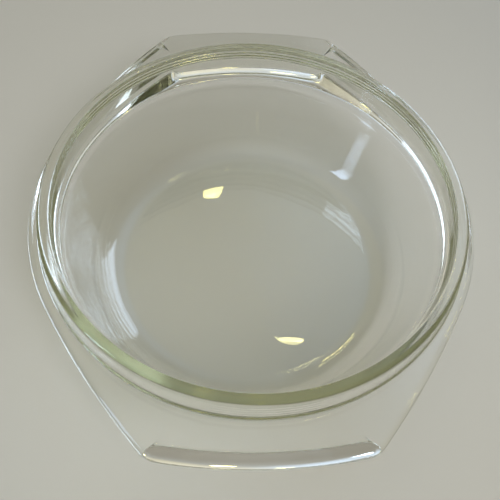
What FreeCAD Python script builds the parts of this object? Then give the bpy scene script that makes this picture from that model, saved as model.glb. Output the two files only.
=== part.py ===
import FreeCAD, Part
import math
import os
import Sketcher

# Round pressed-glass dish with a locating ring and two flat lug handles.
# Millimetres. +Z is up, the dish stands cavity up with its base on Z = 0,
# the bowl's axis is the Z axis and the lugs point along -Y (front) and +Y (back).
#
# The dish is one moulding. It is described here as seven regions that meet face to face:
#   base_disc, base_knuckle, bowl_wall, rim_flange, locating_ring, front_lug, back_lug

V = FreeCAD.Vector
doc = FreeCAD.newDocument("glass_dish")

# ---------------------------------------------------------------- driving sizes
SIZES = [
    ("glass_thick", 5.0),            # floor and wall
    ("cavity_depth", 50.0),          # floor to the flange's top plane
    ("knuckle_inner", 15.0),         # inner radius of the corner between floor and wall
    ("wall_lean", 18.8),             # wall's lean from upright, in degrees
    ("rim_drop", 10.0),              # how far the rim's steeper inner face goes below the flange's top
    ("rim_low_in", 86.5),            # inner radius there
    ("slab_thick", 12.0),            # flange and lugs
    ("slab_edge_low", 2.2),          # rounding of the slab's lower edge
    ("slab_edge_top", 2.4),          # rounding of the slab's upper edge
    ("collar_fillet", 7.2),          # hollow fillet between the wall and the flange's underside
    ("hub_radius", 97.0),            # where the ledge and the lugs start
    ("flange_radius", 100.0),
    ("ring_height", 10.7),
    ("ring_foot_out", 95.2),
    ("ring_top_out", 94.0),
    ("ring_top_in", 88.5),
    ("ring_edge_out", 2.6),          # rounding of the ring's outer top edge
    ("ring_edge_in", 0.9),           # rounding of its inner top edge
    ("lug_reach", 113.5),            # bowl's axis to the middle of a lug's end
    ("lug_end_bow", 235.0),          # radius of the bowed end
    ("lug_side_bow", 349.0),         # radius of the bowed sides
    ("lug_leave_deg", 30.0),         # where a lug's side leaves the flange's circle
    ("lug_corner", 12.0),            # plan radius of a lug's corners
    ("lug_end_bevel", 7.4),          # how far a lug's end face leans in towards the underside
    ("lug_end_land", 0.5),           # upright strip above the leaning end face
    ("lug_cut", 80.0),               # chord where a lug region starts
]

# Sizes that follow from the driving ones.
DERIVED = [
    ("flange_top", "=cavity_depth + glass_thick"),
    ("total_height", "=flange_top + ring_height"),
    ("slab_under", "=flange_top - slab_thick"),
    ("rim_low_z", "=flange_top - rim_drop"),
    ("knuckle_outer", "=knuckle_inner + glass_thick"),
    ("knuckle_mid_z", "=glass_thick + knuckle_inner"),
    ("lean_cos", "=cos(wall_lean * 1 deg)"),
    ("lean_sin", "=sin(wall_lean * 1 deg)"),
    ("lean_tan", "=tan(wall_lean * 1 deg)"),
    ("wall_in_z", "=knuckle_mid_z - knuckle_inner * lean_sin"),
    ("wall_in_r", "=rim_low_in - (rim_low_z - wall_in_z) * lean_tan"),
    ("floor_radius", "=wall_in_r - knuckle_inner * lean_cos"),
    ("wall_out_r", "=floor_radius + knuckle_outer * lean_cos"),
    ("wall_out_z", "=knuckle_mid_z - knuckle_outer * lean_sin"),
    ("fillet_mid_z", "=slab_under - collar_fillet"),
    ("fillet_mid_r", "=wall_out_r + (fillet_mid_z - wall_out_z) * lean_tan + collar_fillet / lean_cos"),
    ("fillet_low_r", "=fillet_mid_r - collar_fillet * lean_cos"),
    ("fillet_low_z", "=fillet_mid_z + collar_fillet * lean_sin"),
    ("collar_in_r", "=rim_low_in - (rim_low_z - fillet_low_z) * lean_tan"),
    ("rim_in_r", "=rim_low_in + (ring_top_in - rim_low_in) * rim_drop / (rim_drop + ring_height)"),
    ("ring_out_shoulder_z", "=total_height - ring_edge_out"),
    ("ring_out_flat_r", "=ring_top_out - ring_edge_out"),
    ("ring_in_shoulder_z", "=total_height - ring_edge_in"),
    ("ring_in_flat_r", "=ring_top_in + ring_edge_in"),
    ("lug_end_mid", "=lug_reach - lug_end_bow"),
    ("lug_side_gap", "=lug_side_bow - flange_radius"),
    ("lug_land_z", "=flange_top - slab_edge_top - lug_end_land"),
    ("lug_slope", "=lug_end_bevel / (lug_land_z - slab_under)"),
]

dims = doc.addObject("Spreadsheet::Sheet", "Dims")


def fill_sheet():
    rows = [(name, str(value)) for name, value in SIZES] + DERIVED
    for number, (name, text) in enumerate(rows, start=1):
        dims.set("A%d" % number, name)
        dims.set("B%d" % number, text)
        dims.setAlias("B%d" % number, name)
    doc.recompute()


fill_sheet()


def size(name):
    """Value of one alias as a plain number."""
    value = dims.get(name)
    return float(getattr(value, "Value", value))


# ---------------------------------------------------------------- helpers
def bind(obj, name, expression):
    """Drive one property from the sheet."""
    obj.setExpression(name, expression)


def origin_feature(body, role):
    """Origin plane or axis of a body, found by its role."""
    for feature in body.Origin.OriginFeatures:
        if feature.Role == role:
            return feature
    raise ValueError(role)


def new_body(name):
    body = doc.addObject("PartDesign::Body", name)
    body.Label = name
    return body


def new_sketch(body, name, role):
    sketch = body.newObject("Sketcher::SketchObject", name)
    sketch.AttachmentSupport = [(origin_feature(body, role), "")]
    sketch.MapMode = "FlatFace"
    return sketch


def fix_point(sketch, geometry, point, across, up):
    """Tie one sketch point to two sheet aliases, None leaves that direction free."""
    for kind, alias in (("DistanceX", across), ("DistanceY", up)):
        if alias is None:
            continue
        place = sketch.getPoint(geometry, point)
        value = place.x if kind == "DistanceX" else place.y
        if alias == "zero":
            axis = -2 if kind == "DistanceX" else -1
            sketch.addConstraint(Sketcher.Constraint("PointOnObject", geometry, point, axis))
            continue
        index = sketch.addConstraint(Sketcher.Constraint(kind, -1, 1, geometry, point, value))
        bind(sketch, "Constraints[%d]" % index, "Dims." + alias)


def at(alias):
    return 0.0 if alias == "zero" else size(alias)


def profile(sketch, corners, arcs=()):
    """Closed section in a vertical plane.

    corners: (radius alias, height alias) in order round the section.
    arcs: {corner index: (centre radius alias, centre height alias, counter clockwise,
           what the far end keeps)} for the side that starts at that corner. The far end of
           an arc keeps one of its two aliases, because the radius already fixes the other.
    """
    arcs = dict(arcs)
    count = len(corners)
    where = [V(at(r), at(z), 0) for r, z in corners]
    keeps = {(index + 1) % count: spec[3] for index, spec in arcs.items()}
    starts = []
    for index in range(count):
        here, there = where[index], where[(index + 1) % count]
        if index not in arcs:
            side = sketch.addGeometry(Part.LineSegment(here, there))
            starts.append((side, 1, 2))
            continue
        centre_r, centre_z, turns_left, _ = arcs[index]
        centre = V(at(centre_r), at(centre_z), 0)
        radius = here.distanceToPoint(centre)
        angle_here = math.atan2(here.y - centre.y, here.x - centre.x)
        angle_there = math.atan2(there.y - centre.y, there.x - centre.x)
        circle = Part.Circle(centre, V(0, 0, 1), radius)
        if turns_left:
            side = sketch.addGeometry(Part.ArcOfCircle(circle, angle_here, angle_there))
            starts.append((side, 1, 2))
        else:
            side = sketch.addGeometry(Part.ArcOfCircle(circle, angle_there, angle_here))
            starts.append((side, 2, 1))
        fix_point(sketch, side, 3, centre_r, centre_z)
    for index in range(count):
        side, _, last = starts[index]
        following, first, _ = starts[(index + 1) % count]
        sketch.addConstraint(Sketcher.Constraint("Coincident", side, last, following, first))
    for index, (across, up) in enumerate(corners):
        side, first, _ = starts[index]
        if keeps.get(index) == "radius":
            up = None
        if keeps.get(index) == "height":
            across = None
        fix_point(sketch, side, first, across, up)


def turned(name, corners, arcs=()):
    """A region of the bowl: a section in the XZ plane turned about the Z axis."""
    body = new_body(name)
    sketch = new_sketch(body, name + "_section", "XZ_Plane")
    profile(sketch, corners, arcs)
    turn = body.newObject("PartDesign::Revolution", name + "_turn")
    turn.Profile = sketch
    turn.ReferenceAxis = (origin_feature(body, "Z_Axis"), [""])
    turn.Angle = 360
    body.Tip = turn
    return body


# ---------------------------------------------------------------- bowl
base_disc = turned("base_disc", [
    ("zero", "zero"),
    ("floor_radius", "zero"),
    ("floor_radius", "glass_thick"),
    ("zero", "glass_thick"),
])

base_knuckle = turned("base_knuckle", [
    ("floor_radius", "zero"),
    ("wall_out_r", "wall_out_z"),
    ("wall_in_r", "wall_in_z"),
    ("floor_radius", "glass_thick"),
], {
    0: ("floor_radius", "knuckle_mid_z", True, "height"),
    2: ("floor_radius", "knuckle_mid_z", False, "radius"),
})

bowl_wall = turned("bowl_wall", [
    ("wall_out_r", "wall_out_z"),
    ("fillet_low_r", "fillet_low_z"),
    ("collar_in_r", "fillet_low_z"),
    ("wall_in_r", "wall_in_z"),
])

locating_ring = turned("locating_ring", [
    ("rim_in_r", "flange_top"),
    ("ring_foot_out", "flange_top"),
    ("ring_top_out", "ring_out_shoulder_z"),
    ("ring_out_flat_r", "total_height"),
    ("ring_in_flat_r", "total_height"),
    ("ring_top_in", "ring_in_shoulder_z"),
], {
    2: ("ring_out_flat_r", "ring_out_shoulder_z", True, "radius"),
    4: ("ring_in_flat_r", "ring_in_shoulder_z", True, "height"),
})

# Collar that carries the flange, with the hollow fillet under the flange.
collar = turned("flange_collar", [
    ("collar_in_r", "fillet_low_z"),
    ("fillet_low_r", "fillet_low_z"),
    ("fillet_mid_r", "slab_under"),
    ("hub_radius", "slab_under"),
    ("hub_radius", "flange_top"),
    ("rim_in_r", "flange_top"),
    ("rim_low_in", "rim_low_z"),
], {
    1: ("fillet_mid_r", "fillet_mid_z", False, "radius"),
})


# ---------------------------------------------------------------- flange and lugs
def lug_outline():
    """Plan of one quarter, as arcs: flange circle, lug side, corner, half of the end.

    The side is an arc that leaves the circle without a kink. The corner arc touches the side
    and the end from inside.
    """
    flange = size("flange_radius")
    leave = math.radians(size("lug_leave_deg"))
    side_r = size("lug_side_bow")
    end_r = size("lug_end_bow")
    corner_r = size("lug_corner")
    side_c = V(-size("lug_side_gap") * math.cos(leave), -size("lug_side_gap") * math.sin(leave), 0)
    end_c = V(0, size("lug_end_mid"), 0)
    reach_side = side_r - corner_r
    reach_end = end_r - corner_r
    span = end_c.distanceToPoint(side_c)
    along = (end_c - side_c) * (1.0 / span)
    foot = (reach_side ** 2 - reach_end ** 2 + span ** 2) / (2.0 * span)
    rise = math.sqrt(reach_side ** 2 - foot ** 2)
    corner_c = side_c + along * foot + V(-along.y, along.x, 0) * rise
    to_side = (corner_c - side_c).normalize()
    to_end = (corner_c - end_c).normalize()
    points = [
        V(flange, 0, 0),
        V(flange * math.cos(leave), flange * math.sin(leave), 0),
        side_c + to_side * side_r,
        end_c + to_end * end_r,
    ]
    return points, (V(0, 0, 0), side_c, corner_c, end_c)


def plan_sketch(sketch):
    """Full plan outline: twelve tangent arcs, mirrored about both axes."""
    points, centres = lug_outline()
    flip_x = V(-1, 1, 1)
    flip_y = V(1, -1, 1)

    def mirrored(v, flip):
        return V(v.x * flip.x, v.y * flip.y, 0)

    both = V(-1, -1, 1)
    first = points[1:]
    second = [mirrored(p, flip_x) for p in reversed(first)]
    third = [mirrored(p, both) for p in first]
    fourth = [mirrored(p, flip_y) for p in reversed(first)]
    stops = first + second + third + fourth
    hub = centres[0]
    side = [centres[1], mirrored(centres[1], flip_x), mirrored(centres[1], both), mirrored(centres[1], flip_y)]
    corner = [centres[2], mirrored(centres[2], flip_x), mirrored(centres[2], both), mirrored(centres[2], flip_y)]
    end = [centres[3], mirrored(centres[3], flip_y)]
    hubs = [side[0], corner[0], end[0], corner[1], side[1], hub,
            side[2], corner[2], end[1], corner[3], side[3], hub]
    arcs = []
    for index, centre in enumerate(hubs):
        here, there = stops[index], stops[(index + 1) % 12]
        circle = Part.Circle(centre, V(0, 0, 1), here.distanceToPoint(centre))
        start = math.atan2(here.y - centre.y, here.x - centre.x)
        stop = math.atan2(there.y - centre.y, there.x - centre.x)
        arcs.append(sketch.addGeometry(Part.ArcOfCircle(circle, start, stop)))
    for index in range(12):
        sketch.addConstraint(Sketcher.Constraint("Tangent", arcs[index], 2, arcs[(index + 1) % 12], 1))
    add = sketch.addConstraint
    for index in (5, 11):
        add(Sketcher.Constraint("Coincident", arcs[index], 3, -1, 1))
        drive(sketch, arcs[index], "flange_radius")
    for index, sign in ((2, ""), (8, "-")):
        add(Sketcher.Constraint("PointOnObject", arcs[index], 3, -2))
        drive(sketch, arcs[index], "lug_end_bow")
        pin_height(sketch, arcs[index], 3, sign + "Dims.lug_end_mid")
    for index in (0, 4, 6, 10):
        drive(sketch, arcs[index], "lug_side_bow")
    for index in (1, 3, 7, 9):
        drive(sketch, arcs[index], "lug_corner")
    # All four sides leave the circle at one angle.
    leave = "Dims.flange_radius * sin(Dims.lug_leave_deg * 1 deg)"
    for index, point, sign in ((0, 1, ""), (4, 2, ""), (6, 1, "-"), (10, 2, "-")):
        pin_height(sketch, arcs[index], point, sign + leave)


def pin_height(sketch, geometry, point, expression):
    value = sketch.getPoint(geometry, point).y
    number = sketch.addConstraint(Sketcher.Constraint("DistanceY", -1, 1, geometry, point, value))
    bind(sketch, "Constraints[%d]" % number, expression)


def drive(sketch, geometry, alias):
    number = sketch.addConstraint(Sketcher.Constraint("Radius", geometry, size(alias)))
    bind(sketch, "Constraints[%d]" % number, "Dims." + alias)


def rim_edges(feature, height):
    """Names of the outline edges that lie at one height."""
    names = []
    for number, edge in enumerate(feature.Shape.Edges, start=1):
        box = edge.BoundBox
        if abs(box.ZMin - height) < 1e-6 and abs(box.ZMax - height) < 1e-6:
            names.append("Edge%d" % number)
    return names


plate = new_body("slab_blank")
plan = new_sketch(plate, "slab_plan", "XY_Plane")
plan.AttachmentOffset = FreeCAD.Placement(V(0, 0, size("slab_under")), FreeCAD.Rotation())
bind(plan, "AttachmentOffset.Base.z", "Dims.slab_under")
plan_sketch(plan)
slab = plate.newObject("PartDesign::Pad", "slab_pad")
slab.Profile = plan
slab.Length = size("slab_thick")
bind(slab, "Length", "Dims.slab_thick")
plate.Tip = slab
doc.recompute()

low_round = plate.newObject("PartDesign::Fillet", "slab_low_round")
low_round.Base = (slab, rim_edges(slab, size("slab_under")))
low_round.Radius = size("slab_edge_low")
bind(low_round, "Radius", "Dims.slab_edge_low")
plate.Tip = low_round
doc.recompute()

top_round = plate.newObject("PartDesign::Fillet", "slab_top_round")
top_round.Base = (low_round, rim_edges(low_round, size("flange_top")))
top_round.Radius = size("slab_edge_top")
bind(top_round, "Radius", "Dims.slab_edge_top")
plate.Tip = top_round
doc.recompute()


# Cutting solids run past what they cut by this much, so that no faces coincide.
SPARE = 2

hub = doc.addObject("Part::Cylinder", "hub")
bind(hub, "Radius", "Dims.hub_radius")
bind(hub, "Height", "Dims.slab_thick + %d" % (4 * SPARE))
bind(hub, "Placement.Base.z", "Dims.slab_under - %d" % (2 * SPARE))


def slab_between(name, low_y, high_y):
    """What is left of the slab between two chords and outside the hub."""
    zone = doc.addObject("Part::Box", name + "_zone")
    bind(zone, "Length", "2 * (Dims.flange_radius + %d)" % SPARE)
    bind(zone, "Width", "%s - (%s)" % (high_y, low_y))
    bind(zone, "Height", "Dims.slab_thick + %d" % (2 * SPARE))
    bind(zone, "Placement.Base.x", "-Dims.flange_radius - %d" % SPARE)
    bind(zone, "Placement.Base.y", low_y)
    bind(zone, "Placement.Base.z", "Dims.slab_under - %d" % SPARE)
    outside = doc.addObject("Part::Cut", name + "_outside")
    outside.Base = zone
    outside.Tool = hub
    piece = doc.addObject("Part::Common", name + "_slab")
    piece.Base = plate
    piece.Tool = outside
    return piece


def end_tool(name, sign):
    """Ring that, cut away, leaves one lug's end face leaning in towards the underside.

    Its inner face is a cone concentric with the bowed end, so the lean is the same all along it.
    The cone runs on below the slab and above the foot of the upright strip, to cross both cleanly.
    """
    wide = doc.addObject("Part::Cylinder", name + "_wide")
    bind(wide, "Radius", "Dims.lug_end_bow + %d" % (4 * SPARE))
    cone = doc.addObject("Part::Cone", name + "_cone")
    bind(cone, "Radius1", "Dims.lug_end_bow - Dims.lug_end_bevel - Dims.lug_slope * %d" % SPARE)
    bind(cone, "Radius2", "Dims.lug_end_bow + Dims.lug_slope * %d" % SPARE)
    for solid in (wide, cone):
        bind(solid, "Height", "Dims.lug_land_z - Dims.slab_under + %d" % (2 * SPARE))
        bind(solid, "Placement.Base.y", "%sDims.lug_end_mid" % sign)
        bind(solid, "Placement.Base.z", "Dims.slab_under - %d" % SPARE)
    tool = doc.addObject("Part::Cut", name)
    tool.Base = wide
    tool.Tool = cone
    return tool


def lug(name, sign, low_y, high_y):
    """One lug: the slab beyond its chord, with a leaning end face."""
    leaning = doc.addObject("Part::Cut", name)
    leaning.Base = slab_between(name, low_y, high_y)
    leaning.Tool = end_tool(name + "_end", sign)
    leaning.Label = name
    return leaning


front_lug = lug("front_lug", "-", "-Dims.lug_reach - %d" % SPARE, "-Dims.lug_cut")
back_lug = lug("back_lug", "", "Dims.lug_cut", "Dims.lug_reach + %d" % SPARE)

# The flange's ledge is what is left of the slab between the two lugs.
ledges = slab_between("ledges", "-Dims.lug_cut", "Dims.lug_cut")
rim_flange = doc.addObject("Part::MultiFuse", "rim_flange")
rim_flange.Shapes = [collar, ledges]
rim_flange.Refine = True
rim_flange.Label = "rim_flange"

doc.recompute()

# ---------------------------------------------------------------- checks and export
REGIONS = {
    "base_disc": base_disc,
    "base_knuckle": base_knuckle,
    "bowl_wall": bowl_wall,
    "rim_flange": rim_flange,
    "locating_ring": locating_ring,
    "front_lug": front_lug,
    "back_lug": back_lug,
}

for obj in doc.Objects:
    if "Invalid" in obj.State or "Error" in obj.State:
        raise RuntimeError("%s is %s" % (obj.Name, obj.State))

os.makedirs("parts", exist_ok=True)
for name, obj in REGIONS.items():
    shape = obj.Shape
    if shape.isNull() or not shape.isValid() or len(shape.Solids) != 1:
        raise RuntimeError("%s: bad shape, %d solids" % (name, len(shape.Solids)))
    box = shape.BoundBox
    print("%-14s volume %9.0f  x %.1f..%.1f  y %.1f..%.1f  z %.1f..%.1f" % (
        name, shape.Volume, box.XMin, box.XMax, box.YMin, box.YMax, box.ZMin, box.ZMax))
    shape.exportStep(os.path.join("parts", name + ".step"))
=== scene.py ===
import math

import bpy
from mathutils import Matrix, Vector


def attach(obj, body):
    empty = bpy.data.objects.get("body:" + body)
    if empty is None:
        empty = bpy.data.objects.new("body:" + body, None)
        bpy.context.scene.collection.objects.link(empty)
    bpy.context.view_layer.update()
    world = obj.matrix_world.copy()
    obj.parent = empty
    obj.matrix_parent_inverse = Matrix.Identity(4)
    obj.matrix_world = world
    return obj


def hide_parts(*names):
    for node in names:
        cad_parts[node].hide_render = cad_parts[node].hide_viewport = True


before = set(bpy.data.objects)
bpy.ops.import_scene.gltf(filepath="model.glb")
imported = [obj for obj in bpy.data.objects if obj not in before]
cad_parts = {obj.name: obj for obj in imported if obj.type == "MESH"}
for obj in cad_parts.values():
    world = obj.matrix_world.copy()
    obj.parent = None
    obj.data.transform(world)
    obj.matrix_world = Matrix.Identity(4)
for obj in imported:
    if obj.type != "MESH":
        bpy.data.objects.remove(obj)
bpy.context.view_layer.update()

MM = 0.001

# ---------------------------------------------------------------- sizes in mm, the CAD model's own
GLASS_T = 5.0              # floor and wall
DEPTH = 50.0               # floor to the flange's top plane
KNUCKLE_IN = 15.0          # inner radius of the corner between floor and wall
LEAN = math.radians(18.8)  # wall's lean from upright
RIM_DROP = 10.0            # how far the rim's steeper inner face reaches below the flange's top
RIM_LOW_IN = 86.5          # inner radius there
RIM_SOFT = 6.0             # half length of the soft corner there, which only this model has
SLAB_T = 12.0              # flange and lugs
EDGE_LOW = 2.2             # rounding under the flange's edge
EDGE_TOP = 2.4             # rounding on top of it
END_BEVEL = 7.4            # how far a lug's end face leans in towards the underside
END_LOW = 0.8              # rounding under a lug's end
END_LAND = 0.5             # upright strip above the leaning end face
UNDER_FILLET = 7.2         # hollow fillet between the wall and the flange's underside
FLANGE_R = 100.0
RING_H = 10.7              # ring's height above the flange
RING_FOOT = 95.2           # ring's outer radius where it stands on the flange
RING_TOP_OUT = 94.0        # its outer radius at the top
RING_TOP_IN = 88.5         # its inner radius at the top
RING_EDGE_OUT = 2.6        # rounding of the ring's outer top edge
RING_EDGE_IN = 0.9         # rounding of its inner top edge
RING_HOLLOW = 1.1          # hollow fillet where the ring stands on the flange, only in this model
LUG_REACH = 113.5          # bowl's axis to the middle of a lug's end
END_BOW = 235.0            # radius of a lug's bowed end
SIDE_BOW = 349.0           # radius of its bowed sides
LEAVE = math.radians(30.0)  # where a lug's side leaves the flange's circle
CORNER_R = 12.0            # plan radius of a lug's corners

FLANGE_TOP = DEPTH + GLASS_T
TOTAL_H = FLANGE_TOP + RING_H
SLAB_UNDER = FLANGE_TOP - SLAB_T
KNUCKLE_OUT = KNUCKLE_IN + GLASS_T
KNUCKLE_Z = GLASS_T + KNUCKLE_IN
RIM_LOW_Z = FLANGE_TOP - RIM_DROP

# ---------------------------------------------------------------- mesh density
# Steps in a quarter of the plan outline.
CIRCLE_STEPS = 30
SIDE_STEPS = 38
CORNER_STEPS = 32
END_STEPS = 26

# Steps along the section's round stretches.
KNUCKLE_OUT_STEPS = 24
KNUCKLE_IN_STEPS = 22
FILLET_STEPS = 20
RING_HOLLOW_STEPS = 6
RING_OUT_STEPS = 12
RING_IN_STEPS = 8
RIM_SOFT_STEPS = 8
EDGE_LOW_STEPS = 10
EDGE_TOP_STEPS = 6

# Steps along its straight stretches.
WALL_STEPS = 5
RING_FACE_STEPS = 3
RIM_FACE_STEPS = 4

# A straight stretch has a point this near to each end, in mm, so that smooth shading stays flat between.
GUARD = 0.25
RING_TOP_GUARD = 0.15

# Shares of the way across the floor, the slab's flat faces and its upright edge, for points there.
FLOOR_SHARES = (0.12, 0.3, 0.5, 0.7, 0.85, 0.95)
SLAB_SHARES = (0.03, 0.2, 0.4, 0.6, 0.8, 0.97)
EDGE_SHARES = (0.05, 0.3, 0.6, 0.9, 0.98)


# ---------------------------------------------------------------- plan outline
def outline():
    """Closed plan outline as (x, y, normal x, normal y, how far round a lug's corner, 0 to 1)."""
    side_gap = SIDE_BOW - FLANGE_R
    side_c = Vector((-side_gap * math.cos(LEAVE), -side_gap * math.sin(LEAVE)))
    end_c = Vector((0.0, LUG_REACH - END_BOW))
    reach_side = SIDE_BOW - CORNER_R
    reach_end = END_BOW - CORNER_R
    span = (end_c - side_c).length
    along = (end_c - side_c) / span
    foot = (reach_side ** 2 - reach_end ** 2 + span ** 2) / (2 * span)
    rise = math.sqrt(reach_side ** 2 - foot ** 2)
    corner_c = side_c + along * foot + Vector((-along.y, along.x)) * rise
    a_side = math.atan2(corner_c.y - side_c.y, corner_c.x - side_c.x)
    a_end = math.atan2(corner_c.y - end_c.y, corner_c.x - end_c.x)
    arcs = [
        (Vector((0.0, 0.0)), FLANGE_R, 0.0, LEAVE, CIRCLE_STEPS, 0.0, 0.0),
        (side_c, SIDE_BOW, LEAVE, a_side, SIDE_STEPS, 0.0, 0.0),
        (corner_c, CORNER_R, a_side, a_end, CORNER_STEPS, 0.0, 1.0),
        (end_c, END_BOW, a_end, math.pi / 2, END_STEPS, 1.0, 1.0),
    ]
    quarter = []
    for centre, radius, start, stop, count, round_from, round_to in arcs:
        for i in range(count):
            t = i / count
            a = start + (stop - start) * t
            n = Vector((math.cos(a), math.sin(a)))
            p = centre + n * radius
            quarter.append((p.x, p.y, n.x, n.y, round_from + (round_to - round_from) * t))
    tip = (0.0, LUG_REACH, 0.0, 1.0, 1.0)
    half = quarter + [tip] + [(-x, y, -nx, ny, w) for x, y, nx, ny, w in reversed(quarter)]
    half.pop()  # the front half starts with this same point
    return half + [(-x, -y, -nx, -ny, w) for x, y, nx, ny, w in half]


# ---------------------------------------------------------------- section
def arc_points(cr, cz, radius, start, stop, count):
    """Points on an arc about (cr, cz), from one angle to another in degrees."""
    turns = [math.radians(start + (stop - start) * i / count) for i in range(count + 1)]
    return [(cr + radius * math.cos(a), cz + radius * math.sin(a)) for a in turns]


def straight(a, b, count=1, guard=GUARD):
    """Points between a and b, with a guard point beside each."""
    length = math.hypot(b[0] - a[0], b[1] - a[1])
    stops = [guard / length] + [i / count for i in range(1, count)] + [1 - guard / length]
    return [(a[0] + (b[0] - a[0]) * t, a[1] + (b[1] - a[1]) * t) for t in stops]


def soft_corner(before, corner, after, reach):
    """Smooth curve that cuts a corner between two straight faces, starting reach away from it."""
    def towards(p):
        length = math.hypot(p[0] - corner[0], p[1] - corner[1])
        return tuple(c + (q - c) * reach / length for c, q in zip(corner, p))

    a, b = towards(before), towards(after)
    curve = []
    for i in range(RIM_SOFT_STEPS + 1):
        t = i / RIM_SOFT_STEPS
        curve.append(tuple((1 - t) ** 2 * p + 2 * t * (1 - t) * c + t * t * q
                           for p, c, q in zip(a, corner, b)))
    return curve


def bowl_section():
    """Outer points from the base up to the flange's underside, and inner ones from the flange's top,
    over the ring, down to the floor. All are (radius, height)."""
    tan, cos, sin = math.tan(LEAN), math.cos(LEAN), math.sin(LEAN)
    lean_deg = math.degrees(LEAN)
    wall_in_z = KNUCKLE_Z - KNUCKLE_IN * sin
    wall_in_r = RIM_LOW_IN - (RIM_LOW_Z - wall_in_z) * tan
    floor_r = wall_in_r - KNUCKLE_IN * cos
    wall_out = (floor_r + KNUCKLE_OUT * cos, KNUCKLE_Z - KNUCKLE_OUT * sin)
    fillet_z = SLAB_UNDER - UNDER_FILLET
    fillet_r = wall_out[0] + (fillet_z - wall_out[1]) * tan + UNDER_FILLET / cos

    flat = [floor_r * share for share in FLOOR_SHARES]
    knuckle = arc_points(floor_r, KNUCKLE_Z, KNUCKLE_OUT, -90, -lean_deg, KNUCKLE_OUT_STEPS)
    under = arc_points(fillet_r, fillet_z, UNDER_FILLET, 180 - lean_deg, 90, FILLET_STEPS)
    outer = [(r, 0.0) for r in flat] + knuckle + straight(knuckle[-1], under[0], WALL_STEPS) + under

    ring_lean = math.degrees(math.atan2(RING_FOOT - RING_TOP_OUT, RING_H))
    inner_lean = math.degrees(math.atan2(RING_TOP_IN - RIM_LOW_IN, RING_H + RIM_DROP))
    hollow = arc_points(RING_FOOT + RING_HOLLOW, FLANGE_TOP + RING_HOLLOW, RING_HOLLOW,
                        270, 180 + ring_lean, RING_HOLLOW_STEPS)
    top_out = arc_points(RING_TOP_OUT - RING_EDGE_OUT, TOTAL_H - RING_EDGE_OUT, RING_EDGE_OUT,
                         ring_lean, 90, RING_OUT_STEPS)
    top_in = arc_points(RING_TOP_IN + RING_EDGE_IN, TOTAL_H - RING_EDGE_IN, RING_EDGE_IN,
                        90, 180 + inner_lean, RING_IN_STEPS)
    bend = soft_corner(top_in[-1], (RIM_LOW_IN, RIM_LOW_Z), (wall_in_r, wall_in_z), RIM_SOFT)
    inner_knuckle = arc_points(floor_r, KNUCKLE_Z, KNUCKLE_IN, -lean_deg, -90, KNUCKLE_IN_STEPS)
    inner = hollow + straight(hollow[-1], top_out[0], RING_FACE_STEPS) + top_out
    inner += straight(top_out[-1], top_in[0], guard=RING_TOP_GUARD) + top_in
    inner += straight(top_in[-1], bend[0], RIM_FACE_STEPS) + bend
    inner += straight(bend[-1], inner_knuckle[0], WALL_STEPS) + inner_knuckle
    inner += [(r, GLASS_T) for r in reversed(flat)]
    return outer, inner


def smoothstep(t):
    return t * t * (3 - 2 * t)


def edge_section(x, y, nx, ny, round_corner):
    """Slab edge below one outline point, from the underside to the top, as (inset, height).

    The edge is upright and rounded below and above. Under a lug's end a cone that is concentric
    with the bowed end cuts it back, so that the end face leans in towards the underside.
    """
    low = EDGE_LOW + (END_LOW - EDGE_LOW) * smoothstep(round_corner)
    land_z = FLANGE_TOP - EDGE_TOP - END_LAND
    mid = Vector((0.0, math.copysign(LUG_REACH - END_BOW, -y)))
    spot = Vector((x, y)) - mid
    normal = Vector((nx, ny))

    def cone_inset(z):
        reach = END_BOW - END_BEVEL * min((land_z - z) / (land_z - SLAB_UNDER), 1.0)
        if round_corner == 0 or spot.length <= reach:
            return 0.0
        along = spot.dot(normal)
        return along - math.sqrt(along ** 2 - spot.length_squared + reach ** 2)

    points = []
    for i in range(EDGE_LOW_STEPS + 1):
        a = math.pi / 2 * (1 - i / EDGE_LOW_STEPS)
        z = SLAB_UNDER + low * (1 - math.sin(a))
        points.append((cone_inset(z) + low * (1 - math.cos(a)), z))
    for share in EDGE_SHARES:
        z = SLAB_UNDER + low + (land_z - SLAB_UNDER - low) * share
        points.append((cone_inset(z), z))
    points.append((0.0, land_z + END_LAND / 2))
    for i in range(EDGE_TOP_STEPS + 1):
        a = math.pi / 2 * i / EDGE_TOP_STEPS
        points.append((EDGE_TOP * (1 - math.cos(a)), FLANGE_TOP - EDGE_TOP * (1 - math.sin(a))))
    return points


# ---------------------------------------------------------------- skin
def between(start, end, shares):
    """Points at these shares of the way from start to end."""
    return [tuple(a + (b - a) * share for a, b in zip(start, end)) for share in shares]


def column_points(point, outer, inner):
    """Section points below, round and above one outline point, from the base to the bowl's floor."""
    x, y, nx, ny, round_corner = point
    reach = math.hypot(x, y)
    lower = [(x / reach * r, y / reach * r, z) for r, z in outer]
    upper = [(x / reach * r, y / reach * r, z) for r, z in inner]
    edge = [(x - nx * inset, y - ny * inset, z) for inset, z in edge_section(x, y, nx, ny, round_corner)]
    underside = between(lower[-1], edge[0], SLAB_SHARES)
    ledge = between(upper[0], edge[-1], reversed(SLAB_SHARES))
    return lower + underside + edge + ledge + upper


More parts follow.
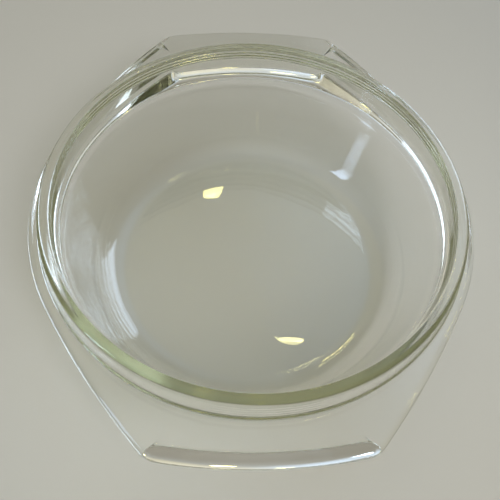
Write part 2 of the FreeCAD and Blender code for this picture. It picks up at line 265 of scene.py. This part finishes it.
def dish_mesh():
    """The whole dish as one closed skin: a column of section points for each outline point."""
    plan = outline()
    outer, inner = bowl_section()
    columns = [column_points(point, outer, inner) for point in plan]
    count, rows = len(columns), len(columns[0])
    base, top = count * rows, count * rows + 1
    verts = [p for column in columns for p in column] + [(0.0, 0.0, 0.0), (0.0, 0.0, GLASS_T)]
    sides = [(c * rows, (c + 1) % count * rows) for c in range(count)]
    faces = [(here + r, beside + r, beside + r + 1, here + r + 1)
             for here, beside in sides for r in range(rows - 1)]
    for here, beside in sides:
        faces.append((base, beside, here))
        faces.append((top, here + rows - 1, beside + rows - 1))
    mesh = bpy.data.meshes.new("glass_dish")
    mesh.from_pydata([tuple(v * MM for v in p) for p in verts], [], faces)
    mesh.validate()
    mesh.polygons.foreach_set("use_smooth", [True] * len(mesh.polygons))
    mesh.update()
    return mesh


# ---------------------------------------------------------------- materials
GLASS_IOR = 1.49
BODY_TINT = (0.60, 0.61, 0.38, 1)    # faint olive, which shows where light runs a long way through glass
BODY_DENSITY = 10.0
SHADOW_TINT = (0.77, 0.755, 0.67, 1)  # share of the key's light that each glass surface lets through
FLOOR_PAINT = (0.51, 0.495, 0.44, 1)
FLOOR_ROUGHNESS = 0.75

# Waviness left by the mould, as noise scale, noise detail and depth in mm.
SURFACE_WAVES = [
    (26.0, 1.0, 0.34),
    (120.0, 0.0, 0.028),
]

# Fine rings that turn round the ring's outer face: their spacing and depth in mm.
RING_MARK_GAP = 1.9
RING_MARK_DEPTH = 0.07
WAVE_REPEAT = math.pi / 10  # how far apart a wave texture's bands are at a scale of 1


def new_material(name):
    mat = bpy.data.materials.new(name)
    mat.use_nodes = True
    tree = mat.node_tree
    tree.nodes.clear()
    return mat, tree.nodes.new, tree.links.new


def add_bump(node, link, height, depth, normal=None):
    """Normal bent by a height of 0 to 1 and this depth in mm, on top of an earlier bump's normal."""
    bump = node("ShaderNodeBump")
    bump.inputs["Strength"].default_value = 1.0
    bump.inputs["Distance"].default_value = depth * MM
    link(height, bump.inputs["Height"])
    if normal:
        link(normal, bump.inputs["Normal"])
    return bump.outputs["Normal"]


def ring_marks(node, link, place):
    """Height of the fine rings, 0 to 1, which are only on the ring's outer face."""
    wave = node("ShaderNodeTexWave")
    wave.bands_direction = "Z"
    wave.inputs["Scale"].default_value = WAVE_REPEAT / (RING_MARK_GAP * MM)
    link(place, wave.inputs["Vector"])
    split = node("ShaderNodeSeparateXYZ")
    link(place, split.inputs["Vector"])
    plan = node("ShaderNodeCombineXYZ")
    link(split.outputs["X"], plan.inputs["X"])
    link(split.outputs["Y"], plan.inputs["Y"])
    radius = node("ShaderNodeVectorMath")
    radius.operation = "LENGTH"
    link(plan.outputs["Vector"], radius.inputs[0])
    height = wave.outputs["Fac"]
    fades = [
        (split.outputs["Z"], FLANGE_TOP, FLANGE_TOP + RING_HOLLOW),
        (radius.outputs["Value"], RING_TOP_OUT - RING_EDGE_OUT, RING_TOP_OUT),
    ]
    for value, start, end in fades:
        fade = node("ShaderNodeMapRange")
        fade.inputs["From Min"].default_value = start * MM
        fade.inputs["From Max"].default_value = end * MM
        link(value, fade.inputs["Value"])
        product = node("ShaderNodeMath")
        product.operation = "MULTIPLY"
        link(height, product.inputs[0])
        link(fade.outputs["Result"], product.inputs[1])
        height = product.outputs["Value"]
    return height


def glass_normal(node, link):
    """Surface normal with the fine rings and the mould's waviness in it."""
    place = node("ShaderNodeTexCoord").outputs["Object"]
    normal = add_bump(node, link, ring_marks(node, link, place), RING_MARK_DEPTH)
    for scale, detail, depth in SURFACE_WAVES:
        wave = node("ShaderNodeTexNoise")
        wave.inputs["Scale"].default_value = scale
        wave.inputs["Detail"].default_value = detail
        link(place, wave.inputs["Vector"])
        normal = add_bump(node, link, wave.outputs["Fac"], depth, normal)
    return normal


def glass_material():
    """Clear glass that absorbs a little olive light, and lets shadow rays straight through."""
    mat, node, link = new_material("clear_pressed_glass")
    out = node("ShaderNodeOutputMaterial")
    glass = node("ShaderNodeBsdfPrincipled")
    glass.inputs["Base Color"].default_value = (1, 1, 1, 1)
    glass.inputs["Transmission Weight"].default_value = 1.0
    glass.inputs["IOR"].default_value = GLASS_IOR
    glass.inputs["Roughness"].default_value = 0.0
    link(glass_normal(node, link), glass.inputs["Normal"])

    clear = node("ShaderNodeBsdfTransparent")
    clear.inputs["Color"].default_value = SHADOW_TINT
    path = node("ShaderNodeLightPath")
    mix = node("ShaderNodeMixShader")
    link(path.outputs["Is Shadow Ray"], mix.inputs["Fac"])
    link(glass.outputs["BSDF"], mix.inputs[1])
    link(clear.outputs["BSDF"], mix.inputs[2])
    link(mix.outputs["Shader"], out.inputs["Surface"])

    body = node("ShaderNodeVolumeAbsorption")
    body.inputs["Color"].default_value = BODY_TINT
    body.inputs["Density"].default_value = BODY_DENSITY
    link(body.outputs["Volume"], out.inputs["Volume"])
    return mat


def floor_material():
    mat, node, link = new_material("pale_floor")
    out = node("ShaderNodeOutputMaterial")
    paint = node("ShaderNodeBsdfPrincipled")
    paint.inputs["Base Color"].default_value = FLOOR_PAINT
    paint.inputs["Roughness"].default_value = FLOOR_ROUGHNESS
    link(paint.outputs["BSDF"], out.inputs["Surface"])
    return mat


# ---------------------------------------------------------------- dish
dish = bpy.data.objects.new("glass_dish", dish_mesh())
bpy.context.scene.collection.objects.link(dish)
dish.data.materials.append(glass_material())
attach(dish, "root")
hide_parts("base_disc", "base_knuckle", "bowl_wall", "rim_flange", "locating_ring",
            "front_lug", "back_lug")

# ---------------------------------------------------------------- floor
FLOOR_SIZE = 6.0
FLOOR_DROP = 0.2 * MM  # air gap under the base, so that the two faces don't coincide

bpy.ops.mesh.primitive_plane_add(size=FLOOR_SIZE, location=(0, 0, -FLOOR_DROP))
floor = bpy.context.object
floor.name = "floor"
floor.data.materials.append(floor_material())

# ---------------------------------------------------------------- light paths
LIGHT_BOUNCES = 32  # more than usual, because light passes many glass surfaces here

cycles = bpy.context.scene.cycles
cycles.max_bounces = LIGHT_BOUNCES
cycles.transmission_bounces = LIGHT_BOUNCES
cycles.glossy_bounces = LIGHT_BOUNCES
cycles.transparent_max_bounces = LIGHT_BOUNCES
bpy.context.scene.view_settings.view_transform = "Standard"

# ---------------------------------------------------------------- light
DISH_MIDDLE = Vector((0, 0, FLANGE_TOP * MM / 2))
KEY_SPREAD = math.radians(40)


def toward(azimuth, elevation, distance):
    """Point in a direction from the dish: azimuth 0 is behind it, 90 to its right."""
    a, e = math.radians(azimuth), math.radians(elevation)
    return Vector((math.sin(a) * math.cos(e), math.cos(a) * math.cos(e), math.sin(e))) * distance


def softbox(name, place, width, height, radiance, colour, shape="RECTANGLE", turn=0.0):
    """Area light that faces the dish, turned by some degrees about the line to it.

    Its power is that of a rectangle with this radiance, so an ellipse is a little brighter.
    """
    lamp = bpy.data.lights.new(name, "AREA")
    lamp.shape = shape
    lamp.size, lamp.size_y = width, height
    lamp.energy = radiance * math.pi * width * height
    lamp.color = colour
    obj = bpy.data.objects.new(name, lamp)
    obj.location = place
    facing = (DISH_MIDDLE - place).to_track_quat("-Z", "Y").to_matrix()
    obj.rotation_euler = (facing @ Matrix.Rotation(math.radians(turn), 3, "Z")).to_euler()
    bpy.context.scene.collection.objects.link(obj)
    return obj


# The warm key lights the floor from the front right, and the glass doesn't mirror it. The glass mirrors
# the windows and the lamps, which light nothing else and don't show themselves.
key = softbox("key", toward(150, 50, 1.0), 0.30, 0.30, 1.02, (1.0, 0.98, 0.94))
key.data.spread = KEY_SPREAD
key.visible_glossy = False
key.visible_transmission = False
MIRRORED = [
    softbox("window_back", toward(44, 22, 1.30), 0.70, 0.90, 5.0, (0.66, 0.80, 1.0)),
    softbox("window_left", toward(-115, 25, 1.20), 0.15, 0.82, 7.0, (0.60, 0.75, 1.0)),
    softbox("lamp_back", toward(-1.5, 53.2, 1.03), 0.060, 0.046, 17.0, (1.0, 0.92, 0.34), "ELLIPSE"),
    softbox("lamp_high", toward(24.6, 69.7, 0.99), 0.060, 0.016, 17.0, (1.0, 0.93, 0.42), "ELLIPSE", 20.0),
]
for light in MIRRORED:
    light.visible_diffuse = False
    light.visible_camera = False

# The studio's walls and ceiling, as position on a ramp from the horizon to the zenith, and colour.
WALLS = [
    (0.00, (0.24, 0.215, 0.16)),
    (0.50, (0.37, 0.355, 0.315)),
    (0.80, (0.54, 0.56, 0.57)),
    (1.00, (0.74, 0.79, 0.84)),
]

# Soft glows on them, as azimuth, elevation and angular radius in degrees, and colour.
GLOWS = [
    (38, 50, 24, (0.42, 0.56, 0.80)),
    (-30, 60, 26, (0.34, 0.27, 0.10)),
    (180, 52, 40, (0.22, 0.22, 0.18)),
]


def fill_ramp(ramp, stops):
    while len(ramp.elements) < len(stops):
        ramp.elements.new(1.0)
    for element, (position, colour) in zip(ramp.elements, stops):
        element.position = position
        element.color = (*colour, 1.0)


def studio_world():
    """Dim warm walls that brighten towards the ceiling, with a few soft glows on them."""
    world = bpy.data.worlds.new("studio")
    world.use_nodes = True
    bpy.context.scene.world = world
    # Shadow rays pass the glass, so a world that is sampled like a lamp lights the floor twice over.
    world.cycles.sampling_method = "NONE"
    node, link = world.node_tree.nodes.new, world.node_tree.links.new

    direction = node("ShaderNodeTexCoord").outputs["Generated"]
    split = node("ShaderNodeSeparateXYZ")
    link(direction, split.inputs["Vector"])
    walls = node("ShaderNodeValToRGB")
    fill_ramp(walls.color_ramp, WALLS)
    link(split.outputs["Z"], walls.inputs["Fac"])
    colour = walls.outputs["Color"]
    for azimuth, elevation, radius, tone in GLOWS:
        dot = node("ShaderNodeVectorMath")
        dot.operation = "DOT_PRODUCT"
        link(direction, dot.inputs[0])
        dot.inputs[1].default_value = toward(azimuth, elevation, 1.0)
        fade = node("ShaderNodeMapRange")
        fade.interpolation_type = "SMOOTHSTEP"
        fade.inputs["From Min"].default_value = math.cos(math.radians(radius))
        link(dot.outputs["Value"], fade.inputs["Value"])
        glow = node("ShaderNodeVectorMath")
        glow.operation = "MULTIPLY_ADD"
        link(fade.outputs["Result"], glow.inputs[0])
        glow.inputs[1].default_value = tone
        link(colour, glow.inputs[2])
        colour = glow.outputs["Vector"]
    link(colour, world.node_tree.nodes["Background"].inputs["Color"])


studio_world()

# ---------------------------------------------------------------- camera
# Lengths are in metres, angles in degrees, and the lens and sensor in mm.
AIM_HEIGHT = FLANGE_TOP * MM
CAM_DISTANCE = 0.280
CAM_ELEVATION = 56.5
CAM_AZIMUTH = 6.9
CAM_TILT = -4.04
CAM_ROLL = -6.0
CAM_LENS = 44.5
CAM_SENSOR = 36.0
CAM_NEAR = 0.01


def place_camera():
    """Camera in front of the dish and above it, aimed near the middle of the flange."""
    cam = bpy.data.cameras.new("camera")
    cam.sensor_width = CAM_SENSOR
    cam.lens = CAM_LENS
    cam.clip_start = CAM_NEAR
    obj = bpy.data.objects.new("camera", cam)
    e = math.radians(CAM_ELEVATION)
    spot = Vector((0, -math.cos(e), math.sin(e))) * CAM_DISTANCE
    forward = -spot.normalized()
    right = Vector((1, 0, 0))
    up = right.cross(forward)
    tilt = Matrix.Rotation(math.radians(CAM_TILT), 3, right)
    forward, up = tilt @ forward, tilt @ up
    roll = Matrix.Rotation(math.radians(CAM_ROLL), 3, forward)
    right, up = roll @ right, roll @ up
    turn = Matrix((right, up, -forward)).transposed().to_4x4()
    orbit = Matrix.Rotation(math.radians(-CAM_AZIMUTH), 4, "Z")
    obj.matrix_world = Matrix.Translation((0, 0, AIM_HEIGHT)) @ orbit @ Matrix.Translation(spot) @ turn
    bpy.context.scene.collection.objects.link(obj)
    bpy.context.scene.camera = obj


place_camera()

bpy.context.view_layer.update()
